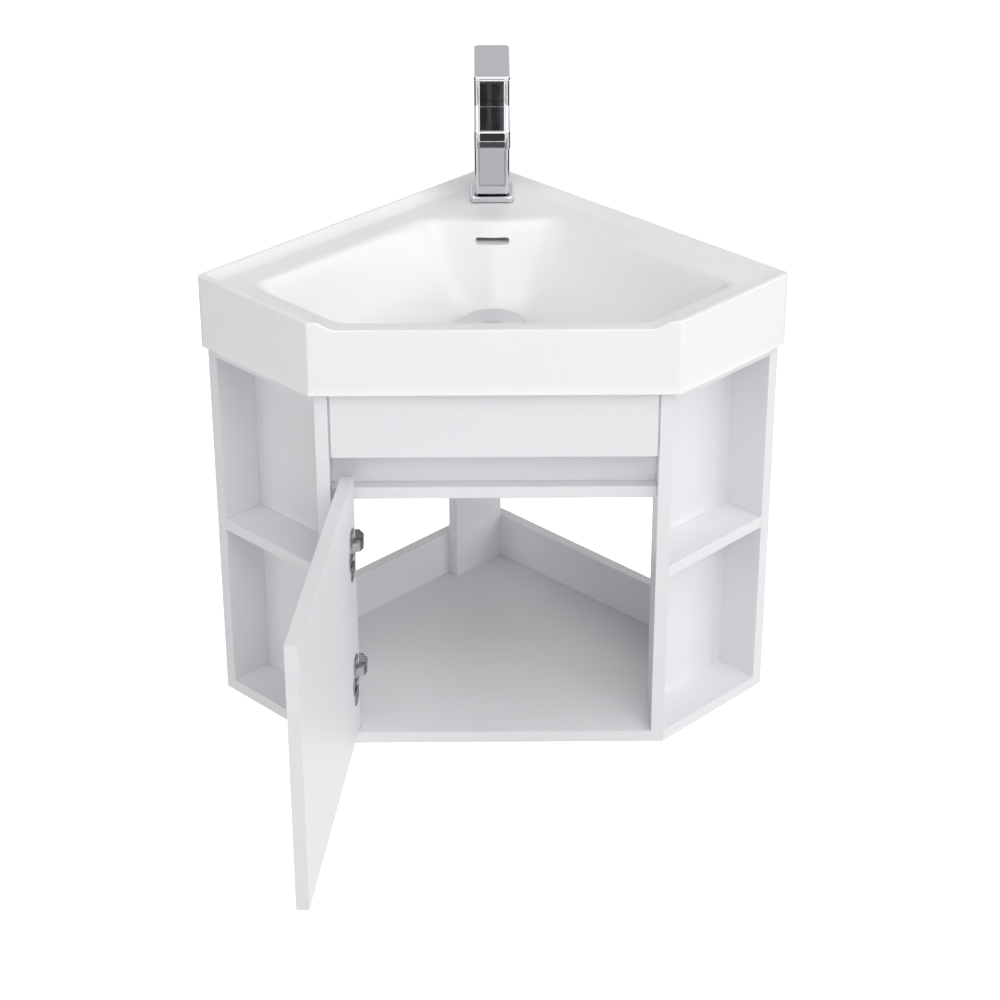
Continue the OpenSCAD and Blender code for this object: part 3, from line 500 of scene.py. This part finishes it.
    # edge: a quarter round, smaller along the walls
    full, inner = outer(0), outer(b["frontRound"])
    at = centre + ray * full[:, None]
    wall = np.minimum(at[:, 0] - at[:, 1], -at[:, 0] - at[:, 1]) / root2
    atWall = np.exp(-(wall / b["wallNear"]) ** 2)
    edge = b["frontRound"] + (b["wallRound"] - b["frontRound"]) * atWall
    share = edge / b["frontRound"]
    deckRing(full + (inner - full) * share)
    level = rings[-1][:, 2]
    for a in np.linspace(0, np.pi / 2, 7)[1:]:
        addRing(full + (inner - full) * share * (1 - math.sin(a)),
                level - edge * (1 - math.cos(a)))

    # foot: swells outward with the square of the depth, except at the walls, and ends in
    # a small round
    swell = b["flare"] * (1 - np.exp(-(wall / b["flareFade"]) ** 4))
    for rise in np.linspace(b["flareHigh"], b["footRound"], 8).tolist():
        addRing(full + swell * (1 - rise / b["flareHigh"]) ** 2, b["foot"] + rise)
    foot = swell * (1 - b["footRound"] / b["flareHigh"]) ** 2
    for a in np.linspace(0, np.pi / 2, 4)[1:]:
        addRing(full + foot - b["footRound"] * (1 - math.cos(a)),
                b["foot"] + b["footRound"] * (1 - math.sin(a)))

    # underside: foot, skirt's inner face, deck, bowl's outer face and boss
    skirt = outer(b["skirt"])
    outerBowl = np.array([reach + b["shell"] * 0.9 for reach, _ in under])
    level = np.array([level - b["shell"] * 0.8 for _, level in under])
    capped = outerBowl > skirt
    meeting = np.minimum(np.where(capped, level, 9).min(axis=0), b["underDeck"])
    level = np.minimum(np.where(capped, meeting, level), b["underDeck"])
    outerBowl = np.minimum(outerBowl, skirt)
    addRing(skirt, b["foot"])
    addRing(skirt, meeting)
    for reach, height in list(zip(outerBowl, level))[::-1]:
        addRing(reach, height)
    addRing(flat * b["drainFloor"], b["boss"])
    addRing(flat * b["drainHole"], b["boss"])
    return np.array(rings)


basinRings = basinPoints()
basinFaces = gridFaces(len(basinRings), basin["columns"])
basinPiece = makePiece("basinShell", basinRings.reshape(-1, 3), basinFaces, satinGlaze,
                       "cabinet", "basin_glaze", ("basin",))

overflow = {"level": 0.461, "length": 0.036, "height": 0.007, "from": 0.122, "to": 0.160}

slotOutline = roundedOutline(rectangle(overflow["length"], overflow["height"]),
                             overflow["height"] / 2 - 1e-5, 10)
slotPoints, slotFaces = slab(slotOutline, -overflow["to"], -overflow["from"], 0.0001, 0.0001, 2)
slotPoints = placed(slotPoints, (0, 0, overflow["level"]), (1, 0, 0), (0, 0, 1), (0, 1, 0))
cutter = bpy.data.objects.new("slotCutter", closedMesh("slotCutter", slotPoints, slotFaces))
bpy.context.scene.collection.objects.link(cutter)
cut = basinPiece.modifiers.new("overflow", "BOOLEAN")
cut.object = cutter
cut.operation = "DIFFERENCE"
cut.solver = "EXACT"
basinPiece.modifiers.move(len(basinPiece.modifiers) - 1, 0)
shaped = bpy.data.meshes.new_from_object(
    basinPiece.evaluated_get(bpy.context.evaluated_depsgraph_get()))
basinPiece.modifiers.clear()
basinPiece.data = shaped
shaped.materials.clear()
shaped.materials.append(satinGlaze)
bpy.data.objects.remove(cutter)

duct = {"half": 0.024, "wall": 0.006, "back": 0.116, "front": 0.138, "low": 0.3722,
        "passage": 0.0178, "top": 0.4698, "boss": 0.199, "corner": 0.004, "edge": 0.0015}

# hollow box behind the slot, open to the bowl's back, and the low passage to the waste
outside, inside = duct["half"], duct["half"] - duct["wall"]
ductFront, ductBack = -duct["front"], -duct["back"]
ductInner = ductBack - duct["wall"]
ductWalls = np.array([[-outside, ductFront], [-inside, ductFront], [-inside, ductInner],
                      [inside, ductInner], [inside, ductFront], [outside, ductFront],
                      [outside, ductBack], [-outside, ductBack]])
ductTube = slab((ductWalls, np.zeros((8, 2))), duct["low"] + duct["passage"] / 2, duct["top"],
                0, 0, 1)
passageMiddle = -(duct["boss"] + duct["back"]) / 2
passage = roundedOutline(rectangle(2 * outside, duct["boss"] - duct["back"], (0, passageMiddle)),
                         duct["corner"], 6)
makePiece("overflowDuct", *joined([
    ductTube,
    slab(passage, duct["low"], duct["low"] + duct["passage"], duct["edge"], duct["edge"])]),
    satinGlaze, "cabinet", "basin_glaze")
print("basin made,", len(shaped.polygons), "faces")


# The press-down cap of the waste: a shallow dome over a rounded rim, on its stem.
plugLow, plugHigh = (np.array(corner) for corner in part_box("waste_plug"))
cap = {"rim": 0.0018, "drop": 0.0026, "thick": 0.007, "stem": 0.004, "under": 0.0012}
capReach, capTop = (plugHigh[0] - plugLow[0]) / 2, plugHigh[2]
arc = np.linspace(0, np.pi / 2, 7)
capUnder = capTop - cap["thick"]
# stem, underside, rim's outer round, then the dome falling with the square of the radius
capProfile = np.concatenate([
    [[0, plugLow[2]], [cap["stem"] - 0.0005, plugLow[2]], [cap["stem"], plugLow[2] + 0.0005],
     [cap["stem"], capUnder], [capReach - cap["under"], capUnder]],
    np.column_stack([capReach - cap["under"] * (1 - np.sin(arc)),
                     capUnder + cap["under"] * (1 - np.cos(arc))]),
    np.column_stack([capReach - cap["rim"] * (1 - np.cos(arc)),
                     capTop - cap["drop"] - cap["rim"] * (1 - np.sin(arc))]),
    [[r, capTop - cap["drop"] * (r / (capReach - cap["rim"])) ** 2]
     for r in np.linspace(capReach - cap["rim"], 0, 12)[1:].tolist()]])
makePiece("drainCap", *turned(capProfile, (0, (plugLow[1] + plugHigh[1]) / 2), 128), capChrome,
          "plug", "tap_chrome", ("waste_plug",))
print("waste cap made")


tap = {"corner": 0.0060, "footUnder": 0.0003, "footEdge": 0.0014, "columnUnder": 0.0004,
       "edge": 0.0008, "noseRadius": 0.100, "spoutEdge": 0.0007, "spoutCorner": 0.0060,
       "spoutBackCorner": 0.001, "sink": 0.004, "fillet": 0.0012, "overlap": 0.0002,
       "leverThick": 0.005, "leverEdge": 0.0012, "reveal": 0.0020, "revealDeep": 0.0015,
       "steps": 10}


# Rounded outline and levels of a node's box, whose back edge moves back by sink.
def boxOutline(nodeName, corner, sink=0):
    (x0, y0, z0), (x1, y1, z1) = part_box(nodeName)
    corners = [[x0, y0], [x1, y0], [x1, y1 + sink], [x0, y1 + sink]]
    return roundedOutline(corners, corner, tap["steps"]), z0, z1


footOutline, footLow, footTop = boxOutline("tap_foot", tap["corner"])
makePiece("tapFoot", *slab(footOutline, footLow, footTop, tap["footUnder"], tap["footEdge"]),
          chromePlate, "cabinet", "tap_chrome", ("tap_foot",))
bodyOutline, _, bodyTop = boxOutline("tap_body", tap["corner"])
neckOutline = (bodyOutline[0] - bodyOutline[1] * tap["revealDeep"], bodyOutline[1])
makePiece("tapColumn", *joined([
    slab(bodyOutline, footTop + tap["reveal"], bodyTop, tap["columnUnder"], tap["edge"]),
    slab(neckOutline, footTop, footTop + tap["reveal"] + tap["overlap"], 0, 0, 1)]),
    chromePlate, "cabinet", "tap_chrome", ("tap_body",))

# The spout: level rings with quarter-round edges, whose front falls back from the
# middle by R - sqrt(R^2 - h^2), h being the height above the middle, so its nose bulges.
(_, spoutNose, spoutLow), (spoutRight, spoutBack, spoutTop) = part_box("tap_spout")
spoutCorners = (tap["spoutCorner"],) * 2 + (tap["spoutBackCorner"],) * 2
spoutOutline, _, _ = boxOutline("tap_spout", spoutCorners, tap["sink"])
turn = np.linspace(0, np.pi / 2, 7)
inset = np.concatenate([tap["spoutEdge"] * (1 - np.sin(turn)), np.zeros(15),
                        tap["spoutEdge"] * (1 - np.cos(turn))])
level = np.concatenate([
    spoutLow + tap["spoutEdge"] * (1 - np.cos(turn)),
    np.linspace(spoutLow + tap["spoutEdge"], spoutTop - tap["spoutEdge"], 17)[1:-1],
    spoutTop - tap["spoutEdge"] * (1 - np.sin(turn))])
height = level - (spoutLow + spoutTop) / 2
bulge = tap["noseRadius"] - np.sqrt(tap["noseRadius"] ** 2 - height ** 2)
spoutRing = spoutOutline[0][None] - spoutOutline[1][None] * inset[:, None, None]
inFront = spoutOutline[0][:, 1] < (spoutNose + spoutBack) / 2
spoutRing[:, :, 1] += bulge[:, None] * inFront

# a hollow bead in the corner between the spout's top and the column: a quarter circle
# seen from outside, carried across the flat of the column
beadTurn = np.linspace(0, np.pi / 2, 6)
bead = np.column_stack([spoutBack + tap["overlap"] - tap["fillet"] * (1 - np.sin(beadTurn)),
                        spoutTop - tap["overlap"] + tap["fillet"] * (1 - np.cos(beadTurn))])
bead = np.concatenate([bead, [[spoutBack + 2 * tap["overlap"], spoutTop - 2 * tap["overlap"]]]])
beadHalf = spoutRight - tap["corner"]
beadPoints = np.concatenate([np.column_stack([np.full(len(bead), x), bead])
                             for x in (-beadHalf, beadHalf)])
count = len(bead)
beadFaces = gridFaces(2, count).tolist()
beadFaces += [list(range(count)), list(range(count, 2 * count))[::-1]]
makePiece("tapSpoutBar", *joined([stacked(spoutRing, level), (beadPoints, beadFaces)]),
          chromePlate, "cabinet", "tap_chrome", ("tap_spout",))

leverOutline, _, leverTop = boxOutline("tap_lever", tap["corner"])
makePiece("leverPlate", *slab(leverOutline, leverTop - tap["leverThick"], leverTop,
                              tap["leverEdge"], tap["leverEdge"]),
          chromePlate, "lever", "tap_chrome", ("tap_lever",))
print("tap made")


joints = {joint["name"]: joint for joint in frame["record"]["behaviour"]["joints"]}
hingeAt = np.array(joints["door_hinge"]["pos_m"])
opened = math.radians(joints["door_hinge"]["range_deg"][1])
hinge = {"levels": (0.0835, 0.2320), "cupOut": 0.0115, "faceOut": 0.0085,
         "cup": 0.0174, "cupInner": 0.0156, "cupDeep": 0.0115, "cupFloor": 0.0100, "rim": 0.0012,
         "slot": 0.0066, "ear": 0.0110, "earFrom": 0.0118, "earTo": 0.0284, "earRound": 0.0068,
         "earThick": 0.0011, "arm": 0.0050, "cheek": 0.0016}

# cups: a turned dish with a raised rim, two plates that close it above and below the
# arm's slot, and two ears; built flat and turned with the open door
acrossDoor = (math.cos(opened), -math.sin(opened), 0)
offDoor = (math.sin(opened), math.cos(opened), 0)
rimOut, rimIn = hinge["cup"], hinge["cupInner"]
cupProfile = [[0, -hinge["cupDeep"]], [rimOut - 0.002, -hinge["cupDeep"]],
              [rimOut, 0.002 - hinge["cupDeep"]], [rimOut, hinge["rim"] - 0.0005],
              [rimOut - 0.0002, hinge["rim"] - 0.0001], [rimOut - 0.0006, hinge["rim"]],
              [rimIn + 0.0004, hinge["rim"]], [rimIn, hinge["rim"] - 0.0005],
              [rimIn, -hinge["cupFloor"]], [0, -hinge["cupFloor"]]]
segment = np.arccos(hinge["slot"] / rimIn)
along = np.linspace(-segment, segment, 24)
segmentRim = np.column_stack([np.sin(along), np.cos(along)]) * (rimIn + 0.0004)
cupParts = [turned(cupProfile, (0, 0), 72)]
for side in (1, -1):
    closing = (segmentRim[::-side] * (1, side), np.zeros((24, 2)))
    cupParts.append(slab(closing, -hinge["cupFloor"], -0.0005, 0, 0, 1))
    earMiddle = side * (hinge["earFrom"] + hinge["earTo"]) / 2
    ear = rectangle(2 * hinge["ear"], hinge["earTo"] - hinge["earFrom"], (0, earMiddle))
    far, near = hinge["earRound"], 0.0006
    radii = (near, near, far, far) if side > 0 else (far, far, near, near)
    cupParts.append(slab(roundedOutline(ear, radii, 8), 0.0001, hinge["earThick"],
                         0.0001, 0.0004, 3))
cupPoints, cupFaces = joined(cupParts)
hingeCups = []
for level in hinge["levels"]:
    middle = np.array([hingeAt[0], hingeAt[1], level]) + \
        np.array(acrossDoor) * hinge["cupOut"] + np.array(offDoor) * hinge["faceOut"]
    hingeCups.append((placed(cupPoints, middle, acrossDoor, (0, 0, 1), offDoor), cupFaces))
makePiece("hingeCups", *joined(hingeCups), nickelPlate, "door", "hinge_nickel", ("hinge_cups",))

# arms: knuckle, slanted front web, bent side web and a body whose top and bottom are
# strips with gaps between them, on the rail that slides on the mounting plate
webs = {
    "front": [[-0.0028, -0.0008], [0.0144, 0.0030], [0.0144, 0.0045], [-0.0028, 0.0007]],
    "bend": [[0.0134, 0.0029], [0.0150, 0.0032], [0.0180, 0.0100], [0.0164, 0.0104]],
    "side": [[0.0164, 0.0094], [0.0180, 0.0094], [0.0180, 0.0240], [0.0164, 0.0244]],
    "shoulder": [[0.0164, 0.0240], [0.0180, 0.0236], [0.0128, 0.0330], [0.0114, 0.0322]]}
# from y, to y and right end of each strip, and of each block of the darker core behind them
strips = ((0.0150, 0.0190, 0.0176), (0.0197, 0.0237, 0.0176), (0.0244, 0.0284, 0.0150),
          (0.0291, 0.0329, 0.0118))
cores = ((0.0155, 0.0245, 0.0166), (0.0240, 0.0290, 0.0135), (0.0285, 0.0322, 0.0110))
armParts = [turned([[0, -hinge["arm"]], [0.0024, -hinge["arm"]], [0.0028, 0.0004 - hinge["arm"]],
                    [0.0028, hinge["arm"] - 0.0004], [0.0024, hinge["arm"]], [0, hinge["arm"]]],
                   (0, 0), 24)]
for web in webs.values():
    armParts.append(slab(roundedOutline(web, 0.0005, 4), -hinge["arm"], hinge["arm"],
                         0.0004, 0.0004, 3))
armLeft, armInner = -0.0062, hinge["arm"] - hinge["cheek"]
for y0, y1, armRight in strips:
    armParts.append(bar(armLeft, armRight, y0, y1, armInner, hinge["arm"]))
    armParts.append(bar(armLeft, armRight, y0, y1, -hinge["arm"], -armInner))
for y0, y1, coreRight in cores:
    armParts.append(bar(armLeft, coreRight, y0, y1, -armInner - 0.0002, armInner + 0.0002))
armParts.append(bar(-0.0064, -0.0006, 0.0152, 0.0454, -hinge["arm"], hinge["arm"], 0.0006))
armPoints, armFaces = joined(armParts)
hingeArms = [(armPoints + (hingeAt[0], hingeAt[1], level), armFaces) for level in hinge["levels"]]
makePiece("hingeArms", *joined(hingeArms), nickelPlate, "cabinet", "hinge_nickel", ("hinge_arms",))
print("hinges made")


# focal length, optical centre and frame in pixels, sensor in mm, angles in degrees
camera = {"focal": 2671.16, "centre": (507.17, 498.85), "frame": 1000, "sensor": 36,
          "pitch": 28.568, "yaw": 0.600, "place": (-0.01177, -2.7492, 1.5689), "clip": 100}
lens = bpy.data.cameras.new("camera")
lens.sensor_width = camera["sensor"]
lens.lens = camera["focal"] * camera["sensor"] / camera["frame"]
lens.shift_x = (camera["frame"] / 2 - camera["centre"][0]) / camera["frame"]
lens.shift_y = (camera["centre"][1] - camera["frame"] / 2) / camera["frame"]
lens.clip_end = camera["clip"]
cameraObject = bpy.data.objects.new("camera", lens)
cameraObject.location = camera["place"]
cameraObject.rotation_euler = (math.radians(90 - camera["pitch"]), 0, -math.radians(camera["yaw"]))
bpy.context.scene.collection.objects.link(cameraObject)
bpy.context.scene.camera = cameraObject

studio = {"ambient": 0.13, "floorLevel": -0.9, "floorLift": 0.85, "floorSize": 60}


# 1 for what the camera sees straight on, in a mirror or through glass, and otherwise 0.
def directRays(tree):
    path = addNode(tree, "LightPath")
    eye = addNode(tree, "Math", {"operation": "MAXIMUM"}, {
        0: path.outputs["Is Camera Ray"], 1: path.outputs["Is Glossy Ray"]})
    return addNode(tree, "Math", {"operation": "MAXIMUM"}, {
        0: eye.outputs[0], 1: path.outputs["Is Transmission Ray"]}).outputs[0]


world = bpy.data.worlds.new("studio")
bpy.context.scene.world = world
world.use_nodes = True
tree = world.node_tree
tree.nodes.clear()
backdrop = addNode(tree, "Background", None, {"Color": (1, 1, 1, 1), "Strength": 1.0})
ambient = addNode(tree, "Background", None, {
    "Color": (1, 1, 1, 1), "Strength": studio["ambient"]})
choose = addNode(tree, "MixShader", None, {
    0: directRays(tree), 1: ambient.outputs[0], 2: backdrop.outputs[0]})
addNode(tree, "OutputWorld", None, {"Surface": choose.outputs[0]})

floorMaterial = bpy.data.materials.new("matt white floor")
floorMaterial.use_nodes = True
tree = floorMaterial.node_tree
tree.nodes.clear()
lift = addNode(tree, "Math", {"operation": "MULTIPLY"}, {
    0: directRays(tree), 1: studio["floorLift"]})
matt = addNode(tree, "BsdfDiffuse", None, {"Color": hexToLinear("#F2F2F2")})
glow = addNode(tree, "Emission", None, {"Color": (1, 1, 1, 1), "Strength": lift.outputs[0]})
both = addNode(tree, "AddShader", None, {0: matt.outputs[0], 1: glow.outputs[0]})
addNode(tree, "OutputMaterial", None, {"Surface": both.outputs[0]})

half = studio["floorSize"] / 2
floorMesh = bpy.data.meshes.new("floor")
floorMesh.from_pydata([(x, y, studio["floorLevel"]) for x, y in
                       ((-half, -half), (half, -half), (half, half), (-half, half))],
                      [], [(0, 1, 2, 3)])
floorMesh.materials.append(floorMaterial)
floor = bpy.data.objects.new("floor", floorMesh)
bpy.context.scene.collection.objects.link(floor)


# White square soft box that faces a point.
def addLamp(name, place, target, size, power):
    lamp = bpy.data.lights.new(name, "AREA")
    lamp.shape = "SQUARE"
    lamp.size = size
    lamp.energy = power
    lampObject = bpy.data.objects.new(name, lamp)
    away = np.array(place, float) - np.array(target, float)
    lampObject.location = place
    lampObject.rotation_euler = (
        math.acos(away[2] / np.linalg.norm(away)), 0, math.atan2(away[0], -away[1]))
    bpy.context.scene.collection.objects.link(lampObject)


lamps = {
    "key": {"place": (2.6, -2.6, 1.7), "size": 2.6, "power": 20},
    "side": {"place": (3.2, -0.9, 1.2), "size": 2.4, "power": 40},
    "fill": {"place": (-2.8, -2.2, 1.4), "size": 2.6, "power": 38},
    "front": {"place": (0.2, -4.2, 0.9), "size": 2.6, "power": 28},
    "high": {"place": (0.9, -2.6, 3.0), "size": 2.2, "power": 46},
    "top": {"place": (0.2, -0.8, 3.2), "size": 2.6, "power": 16},
    "rear": {"place": (0.0, 2.5, 2.5), "size": 2.4, "power": 13}}
for lampName, lamp in lamps.items():
    addLamp(lampName, lamp["place"], (0, -0.3, 0.3), lamp["size"], lamp["power"])

# Glowing cards that only glossy rays see: they are no lamps but paint reflections on the chrome;
# without them the column's front and the spout's top mirror plain white. The first three stand
# well before the unit and paint the dark reflections on those faces. noseDark, noseGrey and
# leverLine stand
# 37 mm before the spout's nose and bowlGlow in the bowl's hollow, inside the unit's own space,
# because the faces whose reflections they paint look down at the basin. The flags paint dark
# reflections on the column's sides and paleGrey paints a pale grey reflection on the lever's top.
# Their places suit the camera
# above: from other sides they show as dark bars on the tap.
cards = {
    "darkPanel": {"middle": (-0.0165, -1.75, 1.18), "width": 0.087, "height": 0.75,
                  "colour": "#3A3839"},
    "brownStreak": {"middle": (0.0010, -1.74, 1.18), "width": 0.009, "height": 0.75,
                    "colour": "#706866"},
    "greyStrip": {"middle": (0.0385, -1.75, 1.18), "width": 0.023, "height": 0.75,
                  "colour": "#6C6A6B"},
    "noseDark": {"middle": (0.0005, -0.20, 0.5730), "width": 0.030, "height": 0.0162,
                 "colour": "#454344"},
    "noseGrey": {"middle": (0.0005, -0.20, 0.5574), "width": 0.028, "height": 0.0127,
                 "colour": "#5E5C5D"},
    "leverLine": {"middle": (0.0005, -0.20, 0.6225), "width": 0.031, "height": 0.0015,
                  "colour": "#3A3A3B"},
    "bowlGlow": {"middle": (0.0000, -0.33, 0.4410), "width": 0.070, "height": 0.072,
                 "colour": "#D8D8D9"},
    "leftFlag": {"middle": (-0.77, 0.21, 0.22), "width": 0.76, "height": 0.5,
                 "colour": "#4A494A", "turn": 70},
    "rightFlag": {"middle": (0.77, 0.21, 0.22), "width": 0.76, "height": 0.5,
                  "colour": "#4A494A", "turn": 110},
    "paleGrey": {"middle": (0.0, 1.60, 1.33), "width": 0.70, "height": 0.60,
                 "colour": "#D6D6D8"}}
for cardName, card in cards.items():
    cardMaterial = bpy.data.materials.new(cardName + " card")
    cardMaterial.use_nodes = True
    tree = cardMaterial.node_tree
    tree.nodes.clear()
    # each card's glow is a painted reflection that only the chrome and the glaze show
    glow = addNode(tree, "Emission", None, {
        "Color": hexToLinear(card["colour"]), "Strength": 1.0})
    addNode(tree, "OutputMaterial", None, {"Surface": glow.outputs[0]})
    turn = math.radians(card.get("turn", 0))
    side = np.array([math.cos(turn), math.sin(turn), 0]) * card["width"] / 2
    rise = np.array([0, 0, card["height"] / 2])
    square = np.array([-side - rise, side - rise, side + rise, rise - side]) + card["middle"]
    cardMesh = bpy.data.meshes.new(cardName)
    cardMesh.from_pydata(square.tolist(), [], [(0, 1, 2, 3)])
    cardMesh.materials.append(cardMaterial)
    cardObject = bpy.data.objects.new(cardName, cardMesh)
    for use in ("camera", "diffuse", "shadow", "transmission", "volume_scatter"):
        setattr(cardObject, "visible_" + use, False)
    bpy.context.scene.collection.objects.link(cardObject)

bpy.context.scene.view_settings.view_transform = "Standard"
print("stage set")
